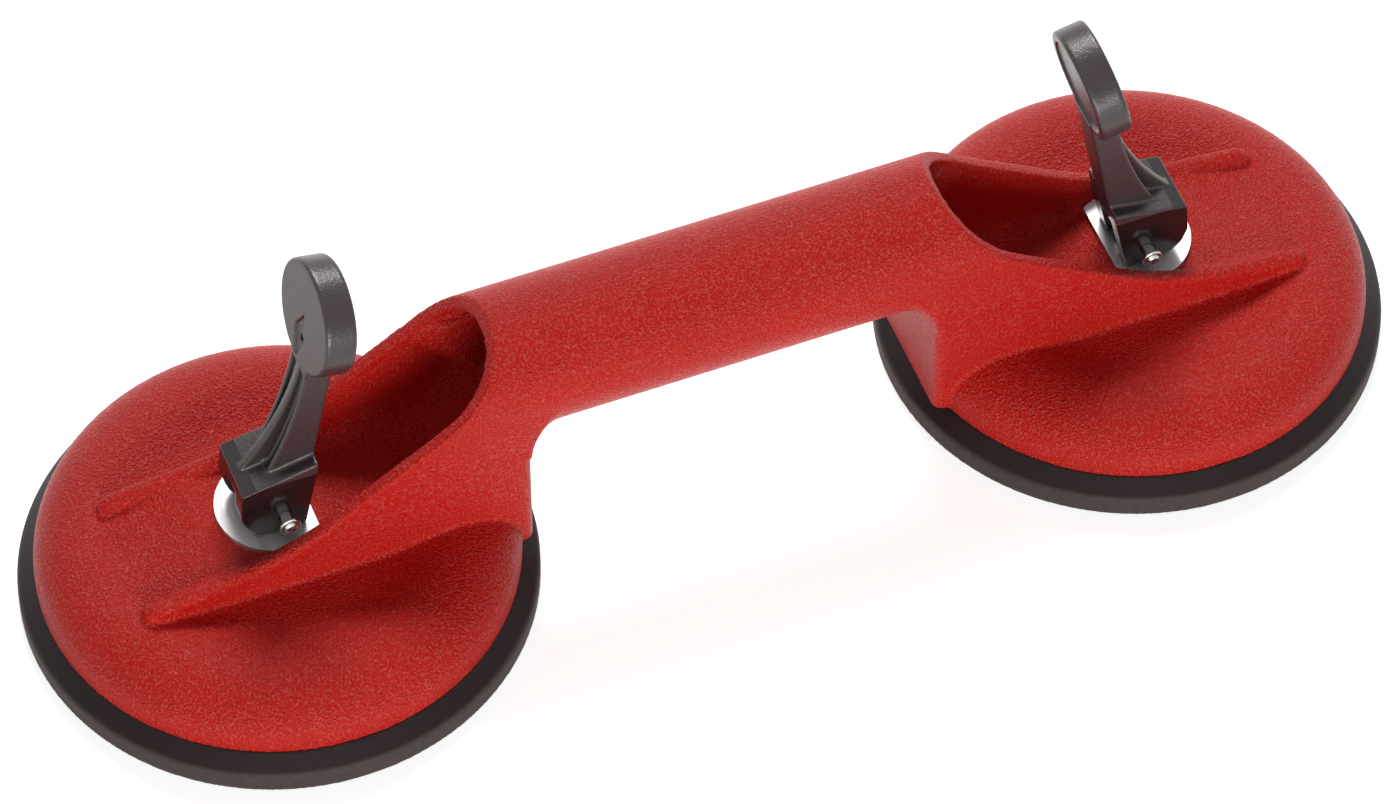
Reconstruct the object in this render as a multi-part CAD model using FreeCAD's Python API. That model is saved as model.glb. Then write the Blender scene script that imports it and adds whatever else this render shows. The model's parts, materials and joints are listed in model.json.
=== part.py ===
"""Double-cup suction lifter for floor tiles, built as an assembly of its real pieces.

One red moulding carries both domed housings and the hollow handle.  Under each
dome sits a rubber suction disc with a steel insert, a draw stud rises through
the housing, and a clevis-shaped cam lever on a cross pin pulls the stud up when
it is folded outwards.  Units are millimetres, +X runs along the handle, +Z up,
and the origin is on the floor below the middle of the handle.

A cup is modelled about its own axis with +X pointing outwards, away from the
handle, and is then placed at either end.
"""
import FreeCAD, Part
import math
import os

Vector = FreeCAD.Vector

os.makedirs("parts", exist_ok=True)

# ------------------------------------------------------------------ driving sizes
cup_spacing = 208.4          # between the two cup axes

# rubber suction disc
disc_radius = 59.0
disc_side_height = 5.8       # height of its upright side
disc_seat_height = 9.1       # flat ring that carries the housing rim
disc_web_thickness = 3.2     # flexible middle
disc_hollow_depth = 2.2      # how far the middle clears the floor at rest
disc_lip_inner_radius = 48.0
disc_edge_round = 0.5
disc_seat_bevel = 0.3        # at the seat ring's outer edge
disc_lip_slope = 8.0         # width of the lip's slope up to the hollow
disc_seat_slope = 3.0        # width of the step from the seat down to the web
disc_web_rise = 0.4
disc_hub_slope = 2.0
disc_hub_radius = 18.5
insert_proud = 0.2           # how far the insert stands above the seat ring's height

# domed housing
rim_radius = 55.0
rim_side_height = 2.2        # upright band above the rim's foot
rim_wall = 4.4
dome_wall = 3.2
crown_radius = 41.0          # radius of the ring-shaped crown
crown_height = 22.2
dish_radius = 26.0           # where the dish inside the crown becomes flat
dish_height = 19.8

# seat between the guard walls
pad_height = 26.9
pad_end = 17.8               # crisp outer edge of the pad
pad_fade = 21.0              # length of the slope below that edge
pad_fade_drop = 0.3          # how far below the crown the slope has run out
pad_fade_sag = 0.62          # share of the fall that the slope's middle has made

# handle
handle_radius = 16.5
handle_wall = 3.0
handle_axis_height = 54.6

# guard walls and scoop
wall_foot_half_width = 17.3  # outside, at the foot of the walls
channel_foot_half_width = 14.1
wall_tip = 36.7              # where the walls run out on the dome
crest_tip_height = 24.0      # top line of the walls, from their tips to the handle
crest_ramp = 18.0
crest_ramp_height = 27.3
crest_axis_height = 32.1
crest_middle = 22.0
crest_middle_height = 45.2
crest_upper = 41.0
crest_upper_height = 58.6
crest_top = 52.0
elbow_root = 0.5             # how far the collar is rooted beyond the surfaces it joins
elbow_inset = 0.25           # its sides lie just inside the handle's
post_face = 55.5             # flat face towards the other cup
post_corner = 2.5
grip_fillet = 7.5            # concave collar from the post face into the handle
scoop_floor_end = 36.0
scoop_throat = 51.0          # where the floor has risen to the handle's bore

# draw stud and insert
shaft_radius = 4.0
eye_thickness = 5.4
insert_radius = 15.0
insert_thickness = 1.5
flange_radius = 7.0
flange_thickness = 1.5
spigot_radius = 3.0
boss_wall = 4.0
boss_pocket_radius = 13.0

# wear plate
plate_radius = 13.6
plate_thickness = 1.3
plate_flat = 7.1             # straight side towards the handle

# cam lever, measured from the pin axis
pin_radius = 1.5
pin_overhang = 4.2           # beyond each cheek
cam_rest = 4.5               # pin axis to the sole, released
cam_locked = 10.4            # pin axis to the outer face, locked
lever_travel = 95.0          # degrees
lever_half_width = 8.0
slot_roof = 7.2              # above the pin axis
heel_length = 4.8            # sole, from the pin axis towards the handle
block_front_top = 10.9       # height of the outer top edge
block_rear = 8.7
block_rear_top = 14.8
arm_half_width = 4.6
arm_foot_front = 2.5
arm_foot_front_top = 13.0
arm_waist_front = 4.0        # behind the pin axis
arm_waist_height = 28.5
arm_neck_front = 7.4
arm_neck_front_drop = 15.7   # below the paddle's centre
arm_neck_rear = 13.6
arm_neck_rear_drop = 17.2
arm_rib_width = 1.3
flute_depth = 1.4
spine_half_width = 1.1
spine_foot = 8.8
spine_waist = 2.0
spine_waist_height = 19.5
paddle_half_width = 13.8
paddle_half_height = 12.6
paddle_thickness = 7.4
paddle_lean = 12.0           # degrees towards the handle
paddle_back = 9.4            # centre of the outer face, behind the pin axis
paddle_height = 57.2
paddle_edge_round = 0.9
thumb_dish_depth = 0.6
thumb_dish_rim = 2.4
recess_width = 6.0           # kite-shaped recess at the foot of the paddle's outer face
recess_height = 14.5
recess_depth = 0.7
recess_hole_radius = 0.9

# retaining rings
ring_radius = 2.4
ring_thickness = 0.9
ring_inset = 0.6             # from the pin's end

# clearances
running_clearance = 0.1      # radial, pin in the cheeks
fixed_clearance = 0.03       # radial, pieces set in one another
guide_clearance = 0.2        # radial, shaft in the housing
cam_clearance = 0.3          # sole to wear plate
slot_clearance = 0.4         # eye in the slot, each side
stroke_clearance = 0.4       # stud's flange below the guide boss, locked

# ------------------------------------------------------------------ derived sizes
half_spacing = cup_spacing / 2
bore_radius = handle_radius - handle_wall
lift = cam_locked - cam_rest
involute_radius = lift / math.radians(lever_travel)
plate_top = pad_height + plate_thickness
pin_height = plate_top + cam_clearance + cam_rest
slot_width = eye_thickness + 2 * slot_clearance
cavity_radius = rim_radius - rim_wall
cavity_height = dish_height - dome_wall
insert_top = disc_seat_height + insert_proud
arm_neck_front_top = paddle_height - arm_neck_front_drop
arm_neck_rear_top = paddle_height - arm_neck_rear_drop
boss_foot = insert_top + flange_thickness + lift + stroke_clearance


# ------------------------------------------------------------------ small helpers
def line(a, b):
    return Part.makeLine(a, b)


def arc(a, middle, b):
    return Part.Arc(a, middle, b).toShape()


def curve(points, start=None, finish=None):
    spline = Part.BSplineCurve()
    if start is None:
        spline.interpolate(points)
    else:
        spline.interpolate(points, InitialTangent=start, FinalTangent=finish)
    return spline.toShape()


def polygon(points):
    return Part.makePolygon(points + [points[0]])


def face(edges):
    return Part.Face(Part.Wire(edges))


def prism(flat, half_width):
    """Extrude a face in the XZ plane evenly to both sides of it."""
    copy = flat.copy()
    copy.translate(Vector(0, -half_width, 0))
    return copy.extrude(Vector(0, 2 * half_width, 0))


def revolve(edges):
    return face(edges).revolve(Vector(0, 0, 0), Vector(0, 0, 1), 360)


def upright_cylinder(radius, bottom, top):
    return Part.makeCylinder(radius, top - bottom, Vector(0, 0, bottom))


def cross_cylinder(radius, half_length, centre):
    start = Vector(centre.x, -half_length, centre.z)
    return Part.makeCylinder(radius, 2 * half_length, start, Vector(0, 1, 0))


# ------------------------------------------------------------------ housing
def ellipse_quarter(centre, radius_x, radius_z):
    """From the outermost point round to the top, in the XZ plane."""
    if radius_x >= radius_z:
        ellipse = Part.Ellipse(centre + Vector(radius_x, 0, 0),
                               centre + Vector(0, 0, radius_z), centre)
        return ellipse.toShape(0, math.pi / 2)
    ellipse = Part.Ellipse(centre + Vector(0, 0, radius_z),
                           centre - Vector(radius_x, 0, 0), centre)
    return ellipse.toShape(-math.pi / 2, 0)


def dome_solid():
    """Turned dome: upright rim, rounded shoulder, ring-shaped crown and shallow dish."""
    foot = disc_seat_height
    shoulder = foot + rim_side_height
    low = Vector(rim_radius, 0, foot)
    high = Vector(rim_radius, 0, shoulder)
    crown_point = Vector(crown_radius, 0, crown_height)
    dish_point = Vector(dish_radius, 0, dish_height)
    inward = Vector(-1, 0, 0)
    shoulder_arc = ellipse_quarter(Vector(crown_radius, 0, shoulder),
                                   rim_radius - crown_radius, crown_height - shoulder)
    slope = curve([crown_point, (crown_point + dish_point) / 2, dish_point], inward, inward)
    axis_top = Vector(0, 0, dish_height)
    axis_foot = Vector(0, 0, foot)
    return revolve([line(low, high), shoulder_arc, slope, line(dish_point, axis_top),
                    line(axis_top, axis_foot), line(axis_foot, low)])


def dome_cavity():
    """The hollow below the dome, with a pocket round the stud's guide boss."""
    boss = shaft_radius + guide_clearance + boss_wall
    pocket_top = pad_height - dome_wall
    corners = [Vector(0, 0, disc_seat_height),
               Vector(cavity_radius, 0, disc_seat_height),
               Vector(cavity_radius, 0, disc_seat_height + rim_side_height),
               Vector(crown_radius, 0, crown_height - dome_wall),
               Vector(dish_radius, 0, cavity_height),
               Vector(boss_pocket_radius, 0, cavity_height),
               Vector(boss_pocket_radius, 0, pocket_top),
               Vector(boss, 0, pocket_top),
               Vector(boss, 0, boss_foot),
               Vector(0, 0, boss_foot)]
    return revolve([line(a, b) for a, b in zip(corners, corners[1:] + corners[:1])])


def arch_section(at, radius, foot_half_width, foot):
    """Round top of the given radius on sides that widen towards the foot."""
    left = Vector(at, -radius, handle_axis_height)
    top = Vector(at, 0, handle_axis_height + radius)
    right = Vector(at, radius, handle_axis_height)
    foot_right = Vector(at, foot_half_width, foot)
    foot_left = Vector(at, -foot_half_width, foot)
    return face([arc(left, top, right), line(right, foot_right),
                 line(foot_right, foot_left), line(foot_left, left)])


def side_half_width(height):
    """Half-width of the walls' outside, which widens evenly towards the foot."""
    share = (handle_axis_height - height) / (handle_axis_height - disc_seat_height)
    return handle_radius + share * (wall_foot_half_width - handle_radius)


def wall_blank():
    """Solid under the handle's outline, its post corners rounded below the handle."""
    foot = disc_seat_height
    length = post_face + wall_tip
    outline = arch_section(-post_face, handle_radius, wall_foot_half_width, foot)
    blank = outline.extrude(Vector(length, 0, 0))
    split = handle_axis_height - handle_radius
    wide = 2 * wall_foot_half_width
    below = Part.makeBox(2 * length, 2 * wide, split - foot, Vector(-length, -wide, foot))
    post = blank.common(below)
    corners = [edge for edge in post.Edges if is_post_corner(edge)]
    return blank.cut(below).fuse(post.makeFillet(post_corner, corners))


def is_post_corner(edge):
    first = edge.Vertexes[0].Point
    last = edge.Vertexes[-1].Point
    on_face = abs(first.x + post_face) < 1e-6 and abs(last.x + post_face) < 1e-6
    return on_face and abs(first.z - last.z) > post_corner


def guard_walls():
    """Both guard walls with the arch that joins them to the handle."""
    inside = arch_section(-post_face - 1, bore_radius, channel_foot_half_width,
                          disc_seat_height)
    inside = inside.extrude(Vector(post_face + wall_tip + 2, 0, 0))
    return wall_blank().cut(inside).common(wall_plan()).cut(scoop_cut())


def wall_plan():
    """Upright mask that gives each wall a rounded nose."""
    nose = (wall_foot_half_width - channel_foot_half_width) / 2
    low = disc_seat_height - 1
    tall = handle_axis_height + handle_radius + 2 - low
    wide = wall_foot_half_width + 3
    reach = wall_tip - nose
    block = Part.makeBox(post_face + reach + 1, 2 * wide, tall,
                         Vector(-post_face - 1, -wide, low))
    centre = channel_foot_half_width + nose - 0.3
    for side in (-1, 1):
        nose_post = Part.makeCylinder(nose, tall, Vector(reach, side * centre, low))
        block = block.fuse(nose_post)
    return block


def scoop_cut():
    """Everything above the walls' top line."""
    above = handle_axis_height + handle_radius + 1
    crest = [Vector(wall_tip + 1, 0, crest_tip_height),
             Vector(crest_ramp, 0, crest_ramp_height),
             Vector(0, 0, crest_axis_height),
             Vector(-crest_middle, 0, crest_middle_height),
             Vector(-crest_upper, 0, crest_upper_height),
             Vector(-crest_top, 0, above)]
    corner = Vector(wall_tip + 1, 0, above)
    edges = [curve(crest), line(crest[-1], corner), line(corner, crest[0])]
    return prism(face(edges), wall_foot_half_width + 5)


def channel_floor():
    """Pad for the lever, the slope beyond it and the wall below the handle."""
    foot = disc_seat_height
    throat = handle_axis_height - bore_radius
    crease = Vector(pad_end, 0, pad_height)
    fade = Vector(pad_end + pad_fade, 0, crown_height - pad_fade_drop)
    floor_end = Vector(-scoop_floor_end, 0, pad_height)
    rise = Vector(-scoop_throat, 0, throat)
    rear_top = Vector(-post_face, 0, handle_axis_height)
    rear_foot = Vector(-post_face, 0, foot)
    slope_middle = Vector(pad_end + pad_fade / 2, 0,
                          pad_height - pad_fade_sag * (pad_height - fade.z))
    rise_middle = Vector(-scoop_floor_end - 0.62 * (scoop_throat - scoop_floor_end), 0,
                         pad_height + 0.3 * (throat - pad_height))
    under_fade = Vector(fade.x, 0, foot)
    edges = [arc(fade, slope_middle, crease), line(crease, floor_end),
             arc(floor_end, rise_middle, rise), line(rise, rear_top),
             line(rear_top, rear_foot), line(rear_foot, under_fade),
             line(under_fade, fade)]
    half = (channel_foot_half_width + bore_radius) / 2 + 0.8
    return prism(face(edges), half)


def grip_elbow():
    """Concave collar round the handle where it meets the post, trimmed to the walls' width."""
    station = -post_face - grip_fillet
    outer = handle_axis_height - handle_radius - grip_fillet
    surface = handle_axis_height - handle_radius
    inner = surface + elbow_root
    root = post_corner + elbow_root - post_face
    swing = grip_fillet * math.sqrt(0.5)
    hollow_middle = Vector(station + swing, 0, outer + swing)
    high = Vector(station, 0, surface)
    low = Vector(-post_face, 0, outer)
    corners = [low, Vector(root, 0, outer), Vector(root, 0, inner),
               Vector(station, 0, inner), high]
    edges = [line(a, b) for a, b in zip(corners, corners[1:])]
    edges.append(arc(high, hollow_middle, low))
    collar = face(edges).revolve(Vector(0, 0, handle_axis_height), Vector(1, 0, 0), 360)
    half = handle_radius - elbow_inset
    mask = Part.makeBox(root - station + 2, 2 * half, handle_axis_height - outer,
                        Vector(station - 1, -half, outer - elbow_root))
    return collar.common(mask)


def housing_half():
    """Dome, walls, pad and elbow of one cup, before the handle's bore."""
    return guard_walls().fuse(channel_floor()).fuse(grip_elbow()).fuse(dome_solid())


def housing_hollows():
    guide = upright_cylinder(shaft_radius + guide_clearance, cavity_height - 1,
                             pad_height + 1)
    return [dome_cavity(), guide]


def at_right(shape):
    placed = shape.copy()
    placed.translate(Vector(half_spacing, 0, 0))
    return placed


def at_left(shape):
    placed = shape.copy()
    placed.rotate(Vector(0, 0, 0), Vector(0, 0, 1), 180)
    placed.translate(Vector(-half_spacing, 0, 0))
    return placed


def housing_handle():
    """The whole red moulding."""
    half = housing_half()
    reach = half_spacing - post_face
    tube = Part.makeCylinder(handle_radius, 2 * reach,
                             Vector(-reach, 0, handle_axis_height), Vector(1, 0, 0))
    bore_reach = half_spacing - scoop_throat + 14
    bore = Part.makeCylinder(bore_radius, 2 * bore_reach,
                             Vector(-bore_reach, 0, handle_axis_height), Vector(1, 0, 0))
    solid = tube.fuse(at_right(half)).fuse(at_left(half)).cut(bore)
    for hollow in housing_hollows():
        solid = solid.cut(at_right(hollow)).cut(at_left(hollow))
    return solid.removeSplitter()


# ------------------------------------------------------------------ suction disc
def suction_disc():
    seat = disc_seat_height
    web_low = disc_hollow_depth
    web_high = disc_hollow_depth + disc_web_thickness
    round_off = disc_edge_round
    pocket = insert_radius + guide_clearance
    pocket_floor = insert_top - insert_thickness
    corners = [Vector(0, 0, web_low),
               Vector(disc_lip_inner_radius - disc_lip_slope, 0, web_low),
               Vector(disc_lip_inner_radius, 0, 0),
               Vector(disc_radius - round_off, 0, 0),
               Vector(disc_radius, 0, round_off),
               Vector(disc_radius, 0, disc_side_height - round_off),
               Vector(disc_radius - round_off, 0, disc_side_height),
               Vector(rim_radius, 0, seat - disc_seat_bevel),
               Vector(rim_radius - disc_seat_bevel, 0, seat),
               Vector(cavity_radius, 0, seat),
               Vector(cavity_radius - disc_seat_slope, 0, web_high + disc_web_rise),
               Vector(cavity_radius - 2 * disc_seat_slope, 0, web_high),
               Vector(disc_hub_radius + disc_hub_slope, 0, web_high),
               Vector(disc_hub_radius, 0, insert_top),
               Vector(pocket, 0, insert_top),
               Vector(pocket, 0, pocket_floor),
               Vector(0, 0, pocket_floor)]
    return Part.Face(polygon(corners)).revolve(Vector(0, 0, 0), Vector(0, 0, 1), 360)


# ------------------------------------------------------------------ draw stud
def insert_plate():
    low = insert_top - insert_thickness
    plate = upright_cylinder(insert_radius, low, insert_top)
    return plate.cut(upright_cylinder(spigot_radius + fixed_clearance, low - 1, insert_top + 1))


def draw_stud():
    """Flanged stud, flattened above the guide into an eye for the cross pin."""
    eye_top = pin_height + shaft_radius
    flat_start = plate_top - plate_thickness - lift
    spigot = upright_cylinder(spigot_radius, insert_top - insert_thickness, insert_top)
    flange = upright_cylinder(flange_radius, insert_top, insert_top + flange_thickness)
    shaft = upright_cylinder(shaft_radius, insert_top, eye_top)
    rounding = cross_cylinder(shaft_radius, 2 * shaft_radius, Vector(0, 0, pin_height))
    below = Part.makeBox(4 * shaft_radius, 4 * shaft_radius, pin_height - insert_top,
                         Vector(-2 * shaft_radius, -2 * shaft_radius, insert_top))
    shaft = shaft.common(rounding.fuse(below))
    for side in (-1, 1):
        inner = eye_thickness / 2 if side > 0 else -eye_thickness / 2 - 2 * shaft_radius
        cheek = Part.makeBox(4 * shaft_radius, 2 * shaft_radius, eye_top,
                             Vector(-2 * shaft_radius, inner, flat_start))
        shaft = shaft.cut(cheek)
    stud = spigot.fuse([flange, shaft])
    hole = cross_cylinder(pin_radius + fixed_clearance, 2 * shaft_radius,
                          Vector(0, 0, pin_height))
    return stud.cut(hole).removeSplitter()


def cross_pin():
    return cross_cylinder(pin_radius, lever_half_width + pin_overhang,
                          Vector(0, 0, pin_height))


def pin_rings():
    """Two push-on retaining rings, one near each end of the pin."""
    rings = []
    inner = lever_half_width + pin_overhang - ring_inset - ring_thickness
    for start in (inner, -inner - ring_thickness):
        base = Vector(0, start, pin_height)
        ring = Part.makeCylinder(ring_radius, ring_thickness, base, Vector(0, 1, 0))
        hole = Part.makeCylinder(pin_radius + fixed_clearance, ring_thickness, base,
                                 Vector(0, 1, 0))
        rings.append(ring.cut(hole))
    return Part.makeCompound(rings)


# ------------------------------------------------------------------ wear plate
def wear_plate():
    low = pad_height
    plate = upright_cylinder(plate_radius, low, plate_top)
    hole = upright_cylinder(shaft_radius + guide_clearance + running_clearance, low - 1, plate_top + 1)
    waste = Part.makeBox(plate_radius, 4 * plate_radius, 4 * plate_thickness,
                         Vector(-plate_flat - plate_radius, -2 * plate_radius,
                                low - plate_thickness))
    return plate.cut([hole, waste])


# ------------------------------------------------------------------ cam lever
def involute_point(angle):
    """Point of the cam whose tangent lies at this angle, measured from the sole."""
    support = cam_rest + involute_radius * angle
    down = Vector(math.sin(angle), 0, -math.cos(angle))
    along = Vector(math.cos(angle), 0, math.sin(angle))
    return down * support + along * involute_radius


def cam_block():
    """Cheek outline about the pin axis: flat sole, involute corner, flat front."""
    travel = math.radians(lever_travel)
    corner = [involute_point(travel * step / 6) for step in range(7)]
    start = Vector(1, 0, 0)
    finish = Vector(math.cos(travel), 0, math.sin(travel))
    toe = corner[-1]
    front_top = toe + finish * ((block_front_top - toe.z) / finish.z)
    rear_top = Vector(-block_rear, 0, block_rear_top)
    heel = Vector(-heel_length, 0, -cam_rest)
    edges = [line(heel, corner[0]), curve(corner, start, finish), line(toe, front_top),
             line(front_top, rear_top), line(rear_top, heel)]
    return prism(face(edges), lever_half_width)


def lever_up():
    lean = math.radians(paddle_lean)
    return Vector(-math.sin(lean), 0, math.cos(lean))


def lever_out():
    lean = math.radians(paddle_lean)
    return Vector(math.cos(lean), 0, math.sin(lean))


def paddle_blank(front, inset, depth):
    """Oval slab behind the given point, its outline set in from the paddle's edge."""
    across = Vector(0, paddle_half_width - inset, 0)
    along = lever_up() * (paddle_half_height - inset)
    outline = Part.Ellipse(front + across, front + along, front).toShape()
    return face([outline]).extrude(lever_out() * -depth)


def paddle():
    """Oval thumb paddle with rounded rims and a shallow dish behind."""
    front = Vector(-paddle_back, 0, paddle_height)
    disc = paddle_blank(front, 0, paddle_thickness)
    rims = [edge for edge in disc.Edges if len(edge.Vertexes) == 1]
    disc = disc.makeFillet(paddle_edge_round, rims)
    rear = front - lever_out() * (paddle_thickness - thumb_dish_depth)
    return disc.cut(paddle_blank(rear, thumb_dish_rim, 2 * thumb_dish_depth))


def paddle_recess():
    """Kite whose point rises into the paddle, with a small blind hole at its foot."""
    front = Vector(-paddle_back, 0, paddle_height)
    foot = front - lever_up() * (paddle_half_height + 1)
    side = Vector(0, recess_width / 2, 0)
    belly = foot + lever_up() * (0.6 * recess_height)
    outline = [foot, belly + side, foot + lever_up() * recess_height, belly - side]
    kite = Part.Face(polygon([point + lever_out() for point in outline]))
    kite = kite.extrude(lever_out() * -(1 + recess_depth))
    hole_start = belly - lever_up() * recess_hole_radius * 2 + lever_out()
    hole = Part.makeCylinder(recess_hole_radius, 1 + 3 * recess_depth, hole_start,
                             lever_out() * -1)
    return kite.fuse(hole)


def arm_front(back_off):
    """Front line of the arm from foot to neck, set back by the given distance."""
    return curve([Vector(arm_foot_front - back_off, 0, arm_foot_front_top),
                  Vector(-arm_waist_front - back_off, 0, arm_waist_height),
                  Vector(-arm_neck_front - back_off, 0, arm_neck_front_top)])


def lever_arm():
    foot_front = Vector(arm_foot_front, 0, arm_foot_front_top)
    foot_rear = Vector(-block_rear, 0, block_rear_top)
    neck_front = Vector(-arm_neck_front, 0, arm_neck_front_top)
    neck_rear = Vector(-arm_neck_rear, 0, arm_neck_rear_top)
    into_block = Vector(0, 0, slot_roof - block_front_top)
    into_paddle = lever_up() * (paddle_half_height / 2)
    corners = [neck_front, neck_front + into_paddle, neck_rear + into_paddle, neck_rear,
               foot_rear, foot_rear + into_block, foot_front + into_block, foot_front]
    edges = [line(a, b) for a, b in zip(corners, corners[1:])]
    edges.append(arm_front(0))
    return prism(face(edges), arm_half_width)


def arm_flutes():
    """The two grooves between the arm's edge ribs and its middle spine."""
    ahead = Vector(spine_foot + 1, 0, arm_foot_front_top)
    ahead_top = Vector(spine_foot + 1, 0, arm_neck_front_top)
    foot = Vector(arm_foot_front - flute_depth, 0, arm_foot_front_top)
    neck = Vector(-arm_neck_front - flute_depth, 0, arm_neck_front_top)
    flat = face([arm_front(flute_depth), line(neck, ahead_top), line(ahead_top, ahead),
                 line(ahead, foot)])
    width = arm_half_width - arm_rib_width - spine_half_width
    middle = spine_half_width + width / 2
    flutes = []
    for side in (-1, 1):
        flute = prism(flat, width / 2)
        flute.translate(Vector(0, side * middle, 0))
        flutes.append(flute)
    return flutes


def lever_spine():
    """Thin web that braces the arm from the block's outer edge to the neck."""
    toe = Vector(spine_foot, 0, block_front_top - 0.5)
    waist = Vector(spine_waist, 0, spine_waist_height)
    neck = Vector(-arm_neck_front, 0, arm_neck_front_top)
    back = Vector(-arm_waist_front - 2 * flute_depth, 0, arm_waist_height)
    heel = Vector(-arm_waist_front, 0, slot_roof + 1)
    edges = [curve([toe, waist, neck]), line(neck, back), line(back, heel), line(heel, toe)]
    return prism(face(edges), spine_half_width)


def cam_lever():
    block = cam_block()
    reach = cam_locked + block_rear
    slot = Part.makeBox(2 * reach, slot_width, slot_roof + reach,
                        Vector(-reach, -slot_width / 2, -reach))
    solid = block.cut(slot).fuse(lever_arm().cut(arm_flutes())).fuse(lever_spine())
    solid = solid.fuse(paddle()).cut(paddle_recess())
    hole = cross_cylinder(pin_radius + running_clearance, 2 * lever_half_width,
                          Vector(0, 0, 0))
    lever = solid.cut(hole).removeSplitter()
    lever.translate(Vector(0, 0, pin_height))
    return lever


# ------------------------------------------------------------------ export
def export(name, shape):
    shape.exportStep("parts/" + name + ".step")


cup_pieces = {"suction_disc": suction_disc(),
              "disc_insert": insert_plate(),
              "draw_stud": draw_stud(),
              "cross_pin": cross_pin(),
              "pin_rings": pin_rings(),
              "wear_plate": wear_plate(),
              "cam_lever": cam_lever()}

export("housing_handle", housing_handle())
for piece, shape in cup_pieces.items():
    export("left_" + piece, at_left(shape))
    export("right_" + piece, at_right(shape))
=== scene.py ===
"""Finishes and stage for the double-cup suction lifter, laid out as a Blender add-on.

The rigid frame gives the pieces their places and sizes.  The red moulding, the rubber
discs and the cam levers are the frame's own solids with their edges rounded as the
mould rounds them.  The pins and rings are turned from profiles by a Geometry Nodes
lathe.  Studs, inserts and wear plates keep the frame's own meshes.  The coves, the
rolled wall ends and the throat are forms that only this file has.
"""
import json
import math

import bmesh
import bpy
from mathutils import Matrix, Vector
from mathutils.bvhtree import BVHTree


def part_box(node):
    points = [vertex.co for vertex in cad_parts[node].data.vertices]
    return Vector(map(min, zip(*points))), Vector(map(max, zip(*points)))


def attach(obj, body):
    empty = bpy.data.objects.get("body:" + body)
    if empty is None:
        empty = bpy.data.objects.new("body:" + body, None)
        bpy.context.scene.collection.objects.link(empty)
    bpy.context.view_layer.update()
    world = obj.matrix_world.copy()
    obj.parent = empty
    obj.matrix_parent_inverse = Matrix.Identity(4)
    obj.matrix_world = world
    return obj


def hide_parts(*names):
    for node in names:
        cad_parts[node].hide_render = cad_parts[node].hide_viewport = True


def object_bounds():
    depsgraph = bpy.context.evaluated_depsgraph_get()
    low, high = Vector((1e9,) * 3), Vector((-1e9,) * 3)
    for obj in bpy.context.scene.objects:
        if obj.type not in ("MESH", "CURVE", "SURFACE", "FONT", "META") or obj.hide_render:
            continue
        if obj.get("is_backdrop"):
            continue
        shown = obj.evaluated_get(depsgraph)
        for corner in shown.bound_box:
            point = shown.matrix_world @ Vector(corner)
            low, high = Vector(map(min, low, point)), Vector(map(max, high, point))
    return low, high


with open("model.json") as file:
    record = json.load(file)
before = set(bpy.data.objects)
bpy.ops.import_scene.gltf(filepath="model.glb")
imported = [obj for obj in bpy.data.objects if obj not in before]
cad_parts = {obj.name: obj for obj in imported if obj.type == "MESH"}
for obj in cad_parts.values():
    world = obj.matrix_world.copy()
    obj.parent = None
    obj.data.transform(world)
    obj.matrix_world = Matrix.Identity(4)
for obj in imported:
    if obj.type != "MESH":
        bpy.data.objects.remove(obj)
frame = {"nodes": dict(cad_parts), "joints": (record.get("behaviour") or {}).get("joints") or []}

bl_info = {
    "name": "Suction lifter finishes",
    "version": (1, 0, 0),
    "blender": (4, 5, 0),
    "location": "View3D > Sidebar > Lifter",
    "description": "Moulded, rubber and steel finishes for a double-cup suction lifter",
    "category": "Object",
}

MM = 0.001
SIDES = ("left", "right")
HANDS = (-1, 1)                 # the wall on the -Y side of a cup, and the one on +Y
HANDLE_AXIS = 54.6 * MM         # height of the handle's axis
WALL_CREST = 15.7 * MM          # middle of a guard wall's crest, out from the handle's plane
OVERHEAD = 0.2                  # a height above the whole lifter, where downward rays start
CUT_AWAY = 0.002 * MM           # points closer than this are one point
MAX_TRIANGLES = 190000          # for the moulding and for each lever
BLOCK_TOP = 11.6 * MM           # these three are heights above the lever's pin axis
RIBS_FOOT = 12.5 * MM
PADDLE_FOOT = 42 * MM
RIB_ROUNDING = 22               # smoothing passes that round the arm's ribs
PADDLE_LEAN = math.radians(12)  # of the paddle's face, towards the handle
WHITE = (1.0, 1.0, 1.0, 1.0)


# ------------------------------------------------------------------ places from the frame
def joint(name):
    return next(entry for entry in frame["joints"] if entry["name"] == name)


def pin_axis(side):
    """A point on the lever's pin axis, on the cup's own axis."""
    return Vector(joint(side + "_lever_fold")["pos_m"])


def outward(side):
    """+1 where the cup points along +X, -1 where it points along -X."""
    return 1 if side == "right" else -1


# ------------------------------------------------------------------ colours and nodes
def linear(code):
    """Linear colour of a #RRGGBB hex value."""
    parts = [int(code[at:at + 2], 16) / 255 for at in (1, 3, 5)]
    return tuple(p / 12.92 if p <= 0.04045 else ((p + 0.055) / 1.055) ** 2.4 for p in parts)


def opaque(colour):
    return (*colour, 1.0)


def per(size_mm):
    """Texture scale for a feature of this size on coordinates in metres."""
    return 1 / (size_mm * MM)


def add(tree, kind, settings=None, **inputs):
    """Adds a node.

    An input is given by its name, or by its place as in _0, with a value or a socket.
    """
    node = tree.nodes.new(kind)
    for key, value in (settings or {}).items():
        setattr(node, key, value)
    for key, value in inputs.items():
        place = key[1:]
        socket = node.inputs[int(place) if place.isdigit() else key.replace("_", " ")]
        if isinstance(value, bpy.types.NodeSocket):
            tree.links.new(value, socket)
        else:
            socket.default_value = value
    return node


def new_material(name):
    material = bpy.data.materials.new(name)
    material.use_nodes = True
    material.node_tree.nodes.clear()
    return material, material.node_tree


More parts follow.
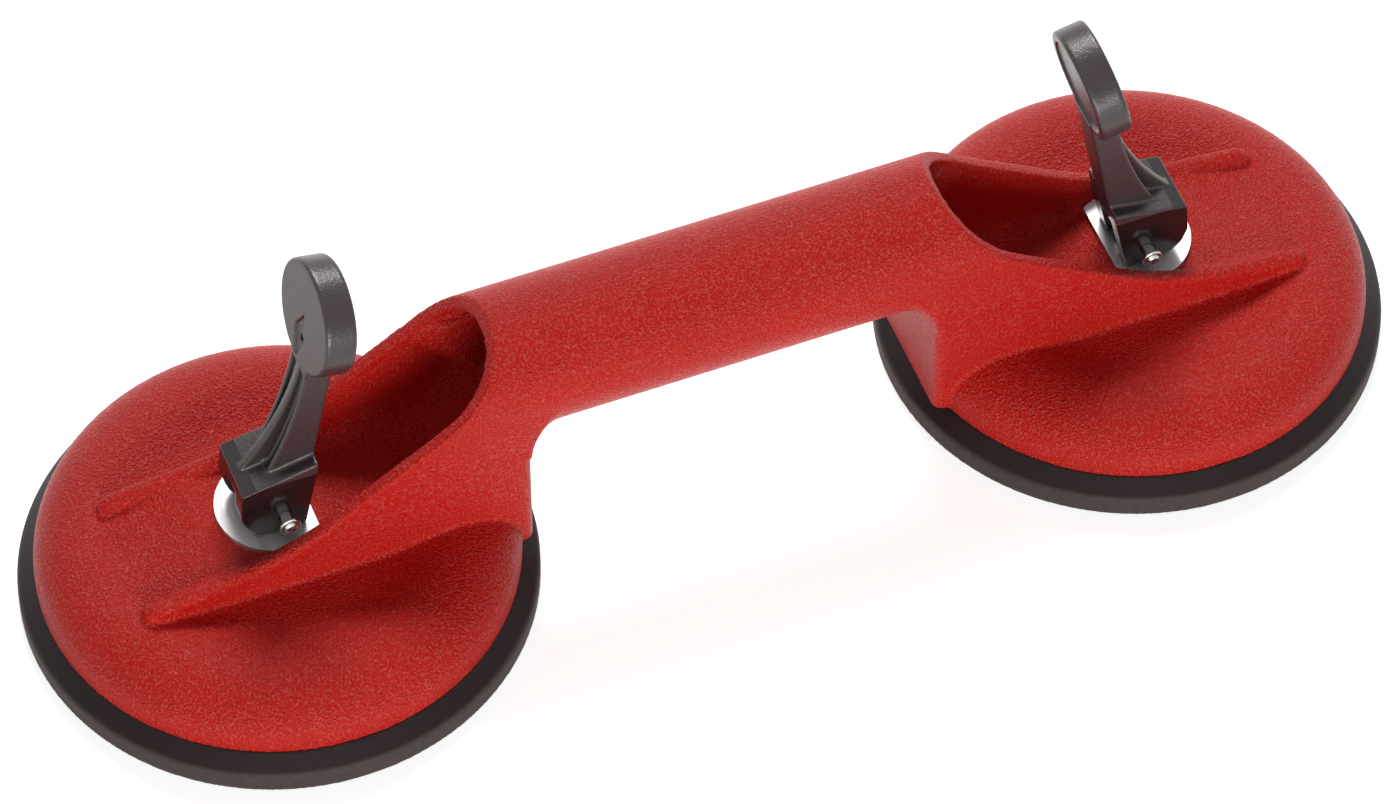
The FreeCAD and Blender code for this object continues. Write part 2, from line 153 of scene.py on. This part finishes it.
def finish_material(tree, shader):
    add(tree, "ShaderNodeOutputMaterial", Surface=shader.outputs[0])


# ------------------------------------------------------------------ settings
class HousingSettings(bpy.types.PropertyGroup):
    colour: bpy.props.FloatVectorProperty(
        name="Plastic", description="Colour of the moulded plastic", subtype="COLOR",
        default=linear("#BC140C"), min=0, max=1)
    # painted highlight: a paler colour at the grain's peaks stands in for glints of lamp light
    painted_glint: bpy.props.FloatVectorProperty(
        name="Painted grain glints", description="Colour of the grain's painted glints", subtype="COLOR",
        default=linear("#D66A5C"), min=0, max=1)
    cell: bpy.props.FloatProperty(
        name="Cell", description="Mesh cell that the mould's edges are rounded with",
        subtype="DISTANCE", default=0.55 * MM, min=0.3 * MM, max=2 * MM)
    grain: bpy.props.FloatProperty(
        name="Grain", description="Width of the mould's spark-eroded grain, in millimetres",
        default=0.55, min=0.1, max=2)


class RubberSettings(bpy.types.PropertyGroup):
    colour: bpy.props.FloatVectorProperty(
        name="Rubber", description="Colour of the clean rubber", subtype="COLOR",
        default=linear("#1E1011"), min=0, max=1)
    scuffed: bpy.props.FloatVectorProperty(
        name="Scuffed rubber", description="Colour of the scuffed side wall",
        subtype="COLOR", default=linear("#4A403E"), min=0, max=1)


class LeverSettings(bpy.types.PropertyGroup):
    colour: bpy.props.FloatVectorProperty(
        name="Lever plastic", description="Colour of the levers", subtype="COLOR",
        default=linear("#1E1414"), min=0, max=1)
    arm_colour: bpy.props.FloatVectorProperty(
        name="Arm", description="Colour of the grained arm and the paddle's band",
        subtype="COLOR", default=linear("#382C2C"), min=0, max=1)
    paddle_colour: bpy.props.FloatVectorProperty(
        name="Paddle face", description="Colour of the paddle's matt face",
        subtype="COLOR", default=linear("#5C5050"), min=0, max=1)
    cell: bpy.props.FloatProperty(
        name="Cell", description="Mesh cell that the lever's edges are rounded with",
        subtype="DISTANCE", default=0.25 * MM, min=0.15 * MM, max=1 * MM)


class SteelSettings(bpy.types.PropertyGroup):
    chrome: bpy.props.FloatVectorProperty(
        name="Chrome", description="Colour of the wear plate", subtype="COLOR",
        default=linear("#B9B5B6"), min=0, max=1)
    steel: bpy.props.FloatVectorProperty(
        name="Steel", description="Colour of pins, rings and studs", subtype="COLOR",
        default=linear("#C9C8C6"), min=0, max=1)
    pin_chamfer: bpy.props.FloatProperty(
        name="Pin chamfer", description="Chamfer on the pin's ends",
        subtype="DISTANCE", default=0.4 * MM, min=0, max=1 * MM)


class StageSettings(bpy.types.PropertyGroup):
    floor_colour: bpy.props.FloatVectorProperty(
        name="Floor", description="Colour of the floor", subtype="COLOR",
        default=linear("#F4F4F4"), min=0, max=1)
    key_power: bpy.props.FloatProperty(
        name="Key light", description="Power of the large soft light", subtype="POWER",
        default=19, min=0, max=200)
    fill: bpy.props.FloatProperty(
        name="Fill", description="Strength of the surrounding light",
        default=0.14, min=0, max=1)


# ------------------------------------------------------------------ materials
def moulded_plastic():
    """Polypropylene from a spark-eroded mould: satin, with a fine grain that glitters.

    The real grain is about 0.3 mm wide, and is drawn a little coarser so that it shows.
    """
    settings = bpy.context.scene.lifter_housing
    material, tree = new_material("moulded_polypropylene")
    place = add(tree, "ShaderNodeTexCoord").outputs["Object"]
    grain = add(tree, "ShaderNodeTexNoise", Vector=place, Scale=per(settings.grain),
                Detail=1.0, Roughness=0.6)
    cloud = add(tree, "ShaderNodeTexNoise", Vector=place, Scale=per(22), Detail=3.0)
    shade = add(tree, "ShaderNodeHueSaturation", Color=opaque(settings.colour),
                Value=add(tree, "ShaderNodeMapRange", Value=cloud.outputs["Fac"],
                          To_Min=0.92, To_Max=1.08).outputs["Result"])
    # painted highlight: paler colour is mixed in at the grain's peaks as glints of light
    peaks = add(tree, "ShaderNodeMapRange", Value=grain.outputs["Fac"],
                From_Min=0.52, From_Max=0.66, To_Min=0.0, To_Max=0.34)
    colour = add(tree, "ShaderNodeMix", {"data_type": "RGBA"}, _0=peaks.outputs["Result"],
                 _6=shade.outputs["Color"], _7=opaque(settings.painted_glint))
    gloss = add(tree, "ShaderNodeMapRange", Value=grain.outputs["Fac"],
                From_Min=0.3, From_Max=0.7, To_Min=0.42, To_Max=0.3)
    bump = add(tree, "ShaderNodeBump", Height=grain.outputs["Fac"], Strength=1.0,
               Distance=0.55 * MM)
    shader = add(tree, "ShaderNodeBsdfPrincipled", Base_Color=colour.outputs[2],
                 Roughness=gloss.outputs["Result"], Normal=bump.outputs["Normal"])
    shader.inputs["IOR"].default_value = 1.49
    shader.inputs["Specular IOR Level"].default_value = 0.18
    finish_material(tree, shader)
    return material


def moulded_rubber():
    """Natural rubber: near-black and smooth on its upper ring, scuffed on its side."""
    settings = bpy.context.scene.lifter_rubber
    material, tree = new_material("moulded_rubber")
    place = add(tree, "ShaderNodeTexCoord").outputs["Object"]
    height = add(tree, "ShaderNodeSeparateXYZ", Vector=place).outputs["Z"]
    wall_top = 5.6 * MM
    side = add(tree, "ShaderNodeMapRange", Value=height, From_Min=wall_top + 0.5 * MM,
               From_Max=wall_top - 0.2 * MM, To_Min=0.0, To_Max=1.0)
    scuff = add(tree, "ShaderNodeTexNoise", Vector=place, Scale=per(1.6), Detail=6.0,
                Roughness=0.7)
    dusty = add(tree, "ShaderNodeMapRange", Value=scuff.outputs["Fac"], From_Min=0.35,
                From_Max=0.62, To_Min=0.55, To_Max=1.0)
    amount = add(tree, "ShaderNodeMath", {"operation": "MULTIPLY"},
                 _0=side.outputs["Result"], _1=dusty.outputs["Result"])
    colour = add(tree, "ShaderNodeMix", {"data_type": "RGBA"}, _0=amount.outputs[0],
                 _6=opaque(settings.colour), _7=opaque(settings.scuffed))
    gloss = add(tree, "ShaderNodeMapRange", Value=amount.outputs[0], To_Min=0.42,
                To_Max=0.7)
    fine = add(tree, "ShaderNodeTexNoise", Vector=place, Scale=per(0.6), Detail=3.0)
    bump = add(tree, "ShaderNodeBump", Height=fine.outputs["Fac"], Strength=0.35,
               Distance=0.12 * MM)
    shader = add(tree, "ShaderNodeBsdfPrincipled", Base_Color=colour.outputs[2],
                 Roughness=gloss.outputs["Result"], Normal=bump.outputs["Normal"])
    shader.inputs["Specular IOR Level"].default_value = 0.2
    finish_material(tree, shader)
    return material


def lever_plastic(name, colour, roughness, grain, relief):
    """Glass-filled nylon: near-black, glossy on the block, grainier on the arm."""
    material, tree = new_material(name)
    place = add(tree, "ShaderNodeTexCoord").outputs["Object"]
    noise = add(tree, "ShaderNodeTexNoise", Vector=place, Scale=per(grain), Detail=3.0,
                Roughness=0.6)
    gloss = add(tree, "ShaderNodeMapRange", Value=noise.outputs["Fac"], From_Min=0.3,
                From_Max=0.7, To_Min=roughness - 0.06, To_Max=roughness + 0.08)
    bump = add(tree, "ShaderNodeBump", Height=noise.outputs["Fac"], Strength=0.5,
               Distance=relief * MM)
    shader = add(tree, "ShaderNodeBsdfPrincipled", Base_Color=opaque(colour),
                 Roughness=gloss.outputs["Result"], Normal=bump.outputs["Normal"])
    finish_material(tree, shader)
    return material


def polished_metal(name, colour, roughness, scratch):
    """Bright metal with hairline marks from handling."""
    material, tree = new_material(name)
    place = add(tree, "ShaderNodeTexCoord").outputs["Object"]
    lines = add(tree, "ShaderNodeMapping", Vector=place, Scale=(1.0, 0.12, 1.0))
    noise = add(tree, "ShaderNodeTexNoise", Vector=lines.outputs["Vector"],
                Scale=per(scratch), Detail=4.0)
    gloss = add(tree, "ShaderNodeMapRange", Value=noise.outputs["Fac"], From_Min=0.3,
                From_Max=0.7, To_Min=roughness, To_Max=roughness + 0.12)
    bump = add(tree, "ShaderNodeBump", Height=noise.outputs["Fac"], Strength=0.1,
               Distance=0.03 * MM)
    shader = add(tree, "ShaderNodeBsdfPrincipled", Base_Color=opaque(colour),
                 Metallic=1.0, Roughness=gloss.outputs["Result"],
                 Normal=bump.outputs["Normal"])
    finish_material(tree, shader)
    return material


# ------------------------------------------------------------------ mesh helpers
def link(thing):
    bpy.context.scene.collection.objects.link(thing)
    return thing


def baked(thing, name):
    """A plain mesh object of an object's evaluated shape; the source object goes."""
    bpy.context.view_layer.update()
    graph = bpy.context.evaluated_depsgraph_get()
    mesh = bpy.data.meshes.new_from_object(thing.evaluated_get(graph))
    mesh.name = name
    bpy.data.objects.remove(thing)
    return link(bpy.data.objects.new(name, mesh))


def rounded_copy(node, name, cell, smoothing, limit, extras=(), rounder=None):
    """The frame node's solid, fused with extra closed forms, with its edges rounded.

    The result is kept under a limit of triangles.  A rounder is (lowest, highest,
    iterations) for a band of heights whose ribs are rounded further.
    """
    copy = link(bpy.data.objects.new(name + "_blank", frame["nodes"][node].data.copy()))
    fuse(copy, extras)
    weld = copy.modifiers.new("Weld", "WELD")
    weld.merge_threshold = CUT_AWAY / 2
    remesh = copy.modifiers.new("Cells", "REMESH")
    remesh.mode = "VOXEL"
    remesh.voxel_size = cell
    smooth = copy.modifiers.new("Edge rounding", "SMOOTH")
    smooth.factor = 0.5
    smooth.iterations = smoothing
    piece = baked(copy, name)
    if rounder:
        low, high, iterations = rounder
        group = piece.vertex_groups.new(name="Rounder")
        group.add([v.index for v in piece.data.vertices if low < v.co.z < high], 1.0, "ADD")
        extra = piece.modifiers.new("Rib rounding", "SMOOTH")
        extra.vertex_group = "Rounder"
        extra.factor = 0.5
        extra.iterations = iterations
        piece = baked(piece, name)
    count = 2 * len(piece.data.polygons)
    if count > limit:
        thin = piece.modifiers.new("Thin", "DECIMATE")
        thin.ratio = limit / count
        piece = baked(piece, name)
    piece.data.shade_smooth()
    piece.data.materials.clear()
    return piece


def fuse(piece, extras):
    """Adds closed meshes, as (points, faces) lists, to a piece's mesh."""
    work = bmesh.new()
    work.from_mesh(piece.data)
    for points, faces in extras:
        verts = [work.verts.new(point) for point in points]
        for face in faces:
            work.faces.new([verts[at] for at in face])
    work.to_mesh(piece.data)
    work.free()


def bar(sections, ring=False):
    """Closed form through cross-sections of equal point counts, as a bar or a ring."""
    count = len(sections[0])
    points = [point for section in sections for point in section]
    rows = len(sections)
    faces = []
    for row in range(rows if ring else rows - 1):
        near, far = row * count, (row + 1) % rows * count
        for at in range(count):
            after = (at + 1) % count
            faces.append([near + at, near + after, far + after, far + at])
    if not ring:
        last = len(points) - count
        faces += [list(range(count))[::-1], [last + at for at in range(count)]]
    return points, faces


def lathe_tree():
    """Turns the object's profile, drawn in the XY plane as (radius, -height), about Z."""
    tree = bpy.data.node_groups.new("turned_profile", "GeometryNodeTree")
    sockets = tree.interface
    sockets.new_socket("Geometry", in_out="INPUT", socket_type="NodeSocketGeometry")
    for name, kind in (("Path radius", "Float"), ("Edge round", "Float"),
                       ("Segments", "Int"), ("Material", "Material")):
        sockets.new_socket(name, in_out="INPUT", socket_type="NodeSocket" + kind)
    sockets.new_socket("Geometry", in_out="OUTPUT", socket_type="NodeSocketGeometry")
    given = add(tree, "NodeGroupInput").outputs
    profile = add(tree, "GeometryNodeMeshToCurve", Mesh=given["Geometry"])
    corners = add(tree, "GeometryNodeFilletCurve", {"mode": "POLY"},
                  Curve=profile.outputs["Curve"], Count=4, Radius=given["Edge round"],
                  Limit_Radius=True)
    circle = add(tree, "GeometryNodeCurvePrimitiveCircle",
                 Resolution=given["Segments"], Radius=given["Path radius"])
    upright = add(tree, "GeometryNodeSetCurveNormal", {"mode": "Z_UP"},
                  Curve=circle.outputs["Curve"])
    swept = add(tree, "GeometryNodeCurveToMesh", Curve=upright.outputs["Curve"],
                Profile_Curve=corners.outputs["Curve"])
    closed = add(tree, "GeometryNodeMergeByDistance", Geometry=swept.outputs["Mesh"],
                 Distance=CUT_AWAY)
    plain = add(tree, "GeometryNodeRealizeInstances", Geometry=closed.outputs["Geometry"])
    painted = add(tree, "GeometryNodeSetMaterial", Geometry=plain.outputs["Geometry"],
                  Material=given["Material"])
    add(tree, "NodeGroupOutput", Geometry=painted.outputs["Geometry"])
    return tree


def turned(name, profile, edge_round, material, segments=128):
    """Mesh turned about Z from (radius, height) corners in metres.

    The profile's ends lie on the axis, or are joined to each other.
    """
    path_radius = max(radius for radius, height in profile) * 0.5
    mesh = bpy.data.meshes.new(name)
    points = [(radius - path_radius, -height, 0) for radius, height in profile]
    edges = [(at, at + 1) for at in range(len(points) - 1)]
    if profile[0][0] > 0:
        edges.append((len(points) - 1, 0))
    mesh.from_pydata(points, edges, [])
    blank = link(bpy.data.objects.new(name + "_profile", mesh))
    modifier = blank.modifiers.new("Lathe", "NODES")
    tree = bpy.data.node_groups.get("turned_profile") or lathe_tree()
    modifier.node_group = tree
    values = {"Path radius": path_radius, "Edge round": edge_round,
              "Segments": segments, "Material": material}
    for item in tree.interface.items_tree:
        if item.in_out == "INPUT" and item.name in values:
            modifier[item.identifier] = values[item.name]
    piece = baked(blank, name)
    outward_faces(piece)
    piece.data.shade_smooth()
    return piece


def outward_faces(piece):
    """Turns the faces of a closed mesh outwards."""
    work = bmesh.new()
    work.from_mesh(piece.data)
    bmesh.ops.recalc_face_normals(work, faces=work.faces)
    work.to_mesh(piece.data)
    work.free()


def move(piece, matrix):
    piece.data.transform(matrix)
    return piece


# ------------------------------------------------------------------ pieces
class LIFTER_OT_housing(bpy.types.Operator):
    """Make the red moulding with rounded crests, coves in its channels and rolled wall ends"""
    bl_idname = "lifter.housing"
    bl_label = "Housing and handle"

    def execute(self, context):
        settings = context.scene.lifter_housing
        solid = frame["nodes"]["housing_handle"].data
        self.tree = BVHTree.FromPolygons([v.co for v in solid.vertices],
                                         [list(face.vertices) for face in solid.polygons])
        extras = []
        for side in SIDES:
            extras.append(self.throat(side))
            for hand in HANDS:
                extras.append(self.cove(side, hand))
                extras.append(self.rolled_end(side, hand))
        piece = rounded_copy("housing_handle", "moulded_housing", settings.cell, 4,
                             MAX_TRIANGLES, extras)
        piece.data.materials.append(moulded_plastic())
        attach(piece, "frame")
        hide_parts("housing_handle")
        return {"FINISHED"}

    def hit(self, start, way):
        """Where a ray first meets the moulding."""
        place = self.tree.ray_cast(Vector(start), Vector(way))[0]
        if place is None:
            raise RuntimeError("no moulding found from " + str(start))
        return place

    def cove(self, side, hand):
        """Fills the corner between the channel's floor and one wall with a widening cove."""
        out = outward(side)
        centre = pin_axis(side)
        plate_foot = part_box(side + "_wear_plate")[0].z
        start, length, steps = 14, 64, 24       # from beyond the plate to inside the bore
        small, growth, swell = 1.2, 11.3, 1.6   # the cove's radius along its length
        root = 0.6 * MM                         # how far the fill reaches into the moulding
        channel_middle = 9 * MM
        arc = 8
        sections = []
        for step in range(steps + 1):
            share = step / steps
            run = (start - length * share) * MM
            x = centre.x + out * run
            radius = (small + growth * share ** swell) * MM
            inside = Vector((x, hand * channel_middle, HANDLE_AXIS))
            floor = plate_foot if run > -start * MM else self.hit(inside, (0, 0, -1)).z
            wall = self.hit((x, 0, floor + min(radius, 2 * MM)), (0, hand, 0)).y
            wall = abs(wall)
            shape = [(wall + root, floor + radius), (wall + root, floor - root),
                     (wall - radius, floor - root)]
            for at in range(arc + 1):
                turn = math.pi / 2 * at / arc
                shape.append((wall - radius + radius * math.sin(turn),
                              floor + radius - radius * math.cos(turn)))
            sections.append([Vector((x, hand * y, z)) for y, z in shape])
        return bar(sections)

    def rolled_end(self, side, hand):
        """Rolls one wall's crest outwards where it runs out on the dome."""
        out = outward(side)
        centre = pin_axis(side)
        tip, length, steps = 36.6 * MM, 46 * MM, 28   # the tip is out from the cup's axis
        full, slimming = 2.0, 0.45                    # roll's radius at the tip, and its loss
        place, drift = 16.3, 0.65                     # roll's middle, and its move inwards
        rise, sink = 1.5, 0.2                         # above the crest at the tip, and below
        nose_length, bluntness = 2.2, 0.03
        depth = 4.5 * MM
        arc = 12
        sections = []
        for step in range(steps + 1):
            run = length * (step / steps) ** 1.5
            share = run / length
            x = centre.x + out * (tip - run)
            crest = self.hit((x, hand * WALL_CREST, OVERHEAD), (0, 0, -1)).z
            radius = (full - slimming * share) * MM
            middle = (place - drift * share) * MM
            height = crest + (rise * (1 - share) - sink) * MM - radius
            nose = min(1.0, run / (nose_length * radius))
            radius *= math.sqrt(max(bluntness, 1 - (1 - nose) ** 2))
            skirt = height - depth
            shape = [(middle - radius, skirt), (middle + 0.6 * radius, skirt)]
            for at in range(arc + 1):
                turn = math.pi * at / arc
                shape.append((middle + radius * math.cos(turn),
                              height + radius * math.sin(turn)))
            sections.append([Vector((x, hand * y, z)) for y, z in shape])
        return bar(sections)

    def crest_run(self, side, height):
        """How far in from the cup's axis the walls' crest reaches a height."""
        out = outward(side)
        centre = pin_axis(side)
        run, end, stride = 20 * MM, 54 * MM, 0.5 * MM
        while run < end:
            above = (centre.x - out * run, WALL_CREST, OVERHEAD)
            if self.hit(above, (0, 0, -1)).z > height:
                break
            run += stride
        return run / MM

    def throat(self, side):
        """Narrows the handle's bore behind the channel, with a rim swept in at its sides."""
        out = outward(side)
        centre = pin_axis(side)
        # distances in millimetres: in from the cup's axis, and out from the handle's axis
        side_rim, top_rim, bottom_rim, back = 44.5, 52.5, 53, 58
        outer, bottom_outer, mouth, bore = 14.8, 16.4, 13.5, 10.7
        side_flare, top_flare = 7, 1.5
        cover_margin, least_flare = 1.6, 1.5
        steps = 48
        sections = []
        for step in range(steps):
            turn = math.tau * step / steps
            across, upright = math.cos(turn) ** 2, math.sin(turn) ** 2
            above = math.sin(turn) >= 0
            rim = side_rim * across + (top_rim if above else bottom_rim) * upright
            flare = side_flare * across ** 3 + top_flare * upright
            if above:
                crest = HANDLE_AXIS + outer * MM * math.sin(turn)
                cover = self.crest_run(side, crest) + cover_margin
                rim = max(rim, cover + least_flare)
                flare = min(flare, rim - cover)
            shell = outer * across + (outer if above else bottom_outer) * upright
            shape = [(rim - flare, shell), (rim - flare, mouth), (rim - 0.5 * flare, 12.3),
                     (rim - 0.15 * flare, 11.2), (rim, bore), (back, bore), (back, shell)]
            sections.append([Vector((centre.x - out * run * MM,
                                     radius * MM * math.cos(turn),
                                     HANDLE_AXIS + radius * MM * math.sin(turn)))
                             for run, radius in shape])
        return bar(sections, ring=True)


class LIFTER_OT_discs(bpy.types.Operator):
    """Make both rubber suction discs with rounded edges"""
    bl_idname = "lifter.discs"
    bl_label = "Suction discs"

    def execute(self, context):
        rubber = moulded_rubber()
        cell, smoothing, limit = 0.5 * MM, 3, 120000
        for side in SIDES:
            node = side + "_suction_disc"
            piece = rounded_copy(node, side + "_rubber_disc", cell, smoothing, limit)
            piece.data.materials.append(rubber)
            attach(piece, "frame")
            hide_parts(node)
        return {"FINISHED"}


class LIFTER_OT_levers(bpy.types.Operator):
    """Make both cam levers: polished block, grained arm and matt paddle face"""
    bl_idname = "lifter.levers"
    bl_label = "Cam levers"

    def execute(self, context):
        settings = context.scene.lifter_lever
        block = lever_plastic("polished_nylon", settings.colour, 0.16, 0.9, 0.03)
        arm = lever_plastic("grained_nylon", settings.arm_colour, 0.3, 0.6, 0.16)
        matt = lever_plastic("matt_nylon", settings.paddle_colour, 0.52, 0.4, 0.05)
        for side in SIDES:
            node = side + "_cam_lever"
            foot = pin_axis(side).z
            band = (foot + RIBS_FOOT, foot + PADDLE_FOOT, RIB_ROUNDING)
            piece = rounded_copy(node, side + "_lever", settings.cell, 7, MAX_TRIANGLES,
                                 rounder=band)
            for material in (block, arm, matt):
                piece.data.materials.append(material)
            self.share_out(piece, side)
            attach(piece, side + "_lever")
            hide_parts(node)
        return {"FINISHED"}

    def share_out(self, piece, side):
        """Gives the block, the arm and the paddle's face their own finish."""
        axis = pin_axis(side)
        out = Vector((outward(side) * math.cos(PADDLE_LEAN), 0, math.sin(PADDLE_LEAN)))
        block_top = axis.z + BLOCK_TOP
        paddle_foot = axis.z + PADDLE_FOOT
        for face in piece.data.polygons:
            if face.center.z < block_top:
                face.material_index = 0
            elif face.center.z > paddle_foot and face.normal.dot(out) > 0.9:
                face.material_index = 2
            else:
                face.material_index = 1


class LIFTER_OT_hardware(bpy.types.Operator):
    """Make pins and rings, and finish studs, inserts and wear plates"""
    bl_idname = "lifter.hardware"
    bl_label = "Pins, rings, studs and plates"

    def execute(self, context):
        settings = context.scene.lifter_steel
        chrome = polished_metal("polished_chrome", settings.chrome, 0.4, 1.2)
        steel = polished_metal("drawn_steel", settings.steel, 0.22, 0.8)
        for side in SIDES:
            self.pin(side, steel, settings.pin_chamfer)
            self.rings(side, steel)
            self.finish_nodes(side, chrome, steel)
        return {"FINISHED"}

    def across(self, side):
        """From the lathe's axis to the pin's."""
        return Matrix.Translation(pin_axis(side)) @ Matrix.Rotation(math.pi / 2, 4, "X")

    def pin(self, side, steel, chamfer):
        node = side + "_cross_pin"
        low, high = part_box(node)
        reach = (high.y - low.y) / 2
        radius = (high.z - low.z) / 2
        profile = [(0, -reach), (radius - chamfer, -reach), (radius, chamfer - reach),
                   (radius, reach - chamfer), (radius - chamfer, reach), (0, reach)]
        piece = turned(side + "_pin", profile, 0.12 * MM, steel, 48)
        move(piece, self.across(side))
        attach(piece, side + "_stud_set")
        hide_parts(node)

    def rings(self, side, steel):
        node = side + "_pin_rings"
        low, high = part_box(node)
        radius = (high.z - low.z) / 2
        pin_low, pin_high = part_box(side + "_cross_pin")
        hole = (pin_high.z - pin_low.z) / 2 + 0.03 * MM
        thickness = 0.9 * MM
        profile = [(hole, high.y - thickness), (radius, high.y - thickness),
                   (radius, high.y), (hole, high.y)]
        piece = turned(side + "_rings", profile, 0.3 * MM, steel, 48)
        twin = piece.copy()
        twin.data = piece.data.copy()
        link(twin)
        move(piece, self.across(side))
        move(twin, self.across(side) @ Matrix.Rotation(math.pi, 4, "X"))
        joined = [piece, twin]
        with bpy.context.temp_override(active_object=piece, selected_editable_objects=joined):
            bpy.ops.object.join()
        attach(piece, side + "_stud_set")
        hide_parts(node)

    def finish_nodes(self, side, chrome, steel):
        for node, material in ((side + "_wear_plate", chrome),
                               (side + "_draw_stud", steel),
                               (side + "_disc_insert", steel)):
            slots = frame["nodes"][node].data.materials
            slots.clear()
            slots.append(material)


# ------------------------------------------------------------------ stage
class LIFTER_OT_stage(bpy.types.Operator):
    """Make the floor, the soft light and the camera"""
    bl_idname = "lifter.stage"
    bl_label = "Floor, light and camera"

    def execute(self, context):
        self.floor(context)
        self.light(context)
        self.camera(context)
        context.scene.view_settings.view_transform = "Standard"
        return {"FINISHED"}

    def floor(self, context):
        settings = context.scene.lifter_stage
        low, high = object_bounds()
        reach = 12 * (high.x - low.x)
        mesh = bpy.data.meshes.new("floor")
        mesh.from_pydata([(-reach, -reach, 0), (reach, -reach, 0), (reach, reach, 0),
                          (-reach, reach, 0)], [], [(0, 1, 2, 3)])
        floor = link(bpy.data.objects.new("floor", mesh))
        material, tree = new_material("white_board")
        path = add(tree, "ShaderNodeLightPath").outputs
        seen = add(tree, "ShaderNodeMath", {"operation": "MAXIMUM"},
                   _0=path["Is Camera Ray"], _1=path["Is Glossy Ray"])
        board = add(tree, "ShaderNodeBsdfDiffuse", Color=opaque(settings.floor_colour))
        glow = add(tree, "ShaderNodeEmission", Color=WHITE, Strength=0.7)
        both = add(tree, "ShaderNodeAddShader", _0=board.outputs[0], _1=glow.outputs[0])
        shader = add(tree, "ShaderNodeMixShader", Fac=seen.outputs[0],
                     _1=board.outputs[0], _2=both.outputs[0])
        finish_material(tree, shader)
        mesh.materials.append(material)
        floor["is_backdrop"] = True

    def light(self, context):
        settings = context.scene.lifter_stage
        world = bpy.data.worlds.new("white_room")
        context.scene.world = world
        world.use_nodes = True
        tree = world.node_tree
        tree.nodes.clear()
        path = add(tree, "ShaderNodeLightPath").outputs
        fill = add(tree, "ShaderNodeBackground", Color=WHITE,
                   Strength=settings.fill)
        white = add(tree, "ShaderNodeBackground", Color=WHITE, Strength=1.0)
        direct = add(tree, "ShaderNodeMath", {"operation": "MAXIMUM"},
                     _0=path["Is Camera Ray"], _1=path["Is Glossy Ray"])
        seen = add(tree, "ShaderNodeMath", {"operation": "MAXIMUM"},
                   _0=direct.outputs[0], _1=path["Is Transmission Ray"])
        mix = add(tree, "ShaderNodeMixShader", Fac=seen.outputs[0],
                  _1=fill.outputs[0], _2=white.outputs[0])
        add(tree, "ShaderNodeOutputWorld", Surface=mix.outputs[0])
        self.area("front", (-0.35, -1.5, 0.32), (1.3, 0.5), settings.key_power)
        self.area("behind", (0.35, 1.05, 1.25), (0.7, 0.5), settings.key_power * 1.1)

    def area(self, name, place, size, power):
        light = bpy.data.lights.new(name, "AREA")
        light.shape = "RECTANGLE"
        light.size, light.size_y = size
        light.energy = power
        lamp = link(bpy.data.objects.new(name, light))
        lamp.location = place
        lamp.rotation_euler = (-Vector(place)).to_track_quat("-Z", "Y").to_euler()

    def camera(self, context):
        azimuth, elevation, roll = (math.radians(a) for a in (-21.696, 52.612, 0.276))
        distance, across, up_shift = 1.673751, -0.002002, 0.009128
        back = Vector((math.sin(azimuth) * math.cos(elevation),
                       -math.cos(azimuth) * math.cos(elevation), math.sin(elevation)))
        level = Vector((math.cos(azimuth), math.sin(azimuth), 0))
        upright = level.cross(-back)
        right = level * math.cos(roll) + upright * math.sin(roll)
        up = upright * math.cos(roll) - level * math.sin(roll)
        data = bpy.data.cameras.new("camera")
        data.lens = 187.696
        data.sensor_width = 36
        camera = link(bpy.data.objects.new("camera", data))
        turn = Matrix((right, up, back)).transposed().to_4x4()
        camera.matrix_world = Matrix.Translation(
            back * distance + right * across + up * up_shift) @ turn
        context.scene.camera = camera


class LIFTER_PT_panel(bpy.types.Panel):
    """Lists the lifter's pieces and their settings"""
    bl_idname = "LIFTER_PT_panel"
    bl_label = "Suction lifter"
    bl_space_type = "VIEW_3D"
    bl_region_type = "UI"
    bl_category = "Lifter"

    def draw(self, context):
        scene = context.scene
        for operator, group in PIECES:
            box = self.layout.box()
            box.operator(operator.bl_idname)
            settings = getattr(scene, group)
            for name in settings.__annotations__:
                box.prop(settings, name)


GROUPS = {"lifter_housing": HousingSettings, "lifter_rubber": RubberSettings,
          "lifter_lever": LeverSettings, "lifter_steel": SteelSettings,
          "lifter_stage": StageSettings}
PIECES = ((LIFTER_OT_housing, "lifter_housing"), (LIFTER_OT_discs, "lifter_rubber"),
          (LIFTER_OT_levers, "lifter_lever"), (LIFTER_OT_hardware, "lifter_steel"),
          (LIFTER_OT_stage, "lifter_stage"))


def register():
    for name, group in GROUPS.items():
        bpy.utils.register_class(group)
        setattr(bpy.types.Scene, name, bpy.props.PointerProperty(type=group))
    for operator, group in PIECES:
        bpy.utils.register_class(operator)
    bpy.utils.register_class(LIFTER_PT_panel)


def unregister():
    bpy.utils.unregister_class(LIFTER_PT_panel)
    for operator, group in reversed(PIECES):
        bpy.utils.unregister_class(operator)
    for name, group in reversed(GROUPS.items()):
        delattr(bpy.types.Scene, name)
        bpy.utils.unregister_class(group)


def main():
    register()
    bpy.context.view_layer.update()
    bpy.ops.lifter.housing()
    bpy.ops.lifter.discs()
    bpy.ops.lifter.levers()
    bpy.ops.lifter.hardware()
    bpy.ops.lifter.stage()


if __name__ == "__main__":
    main()
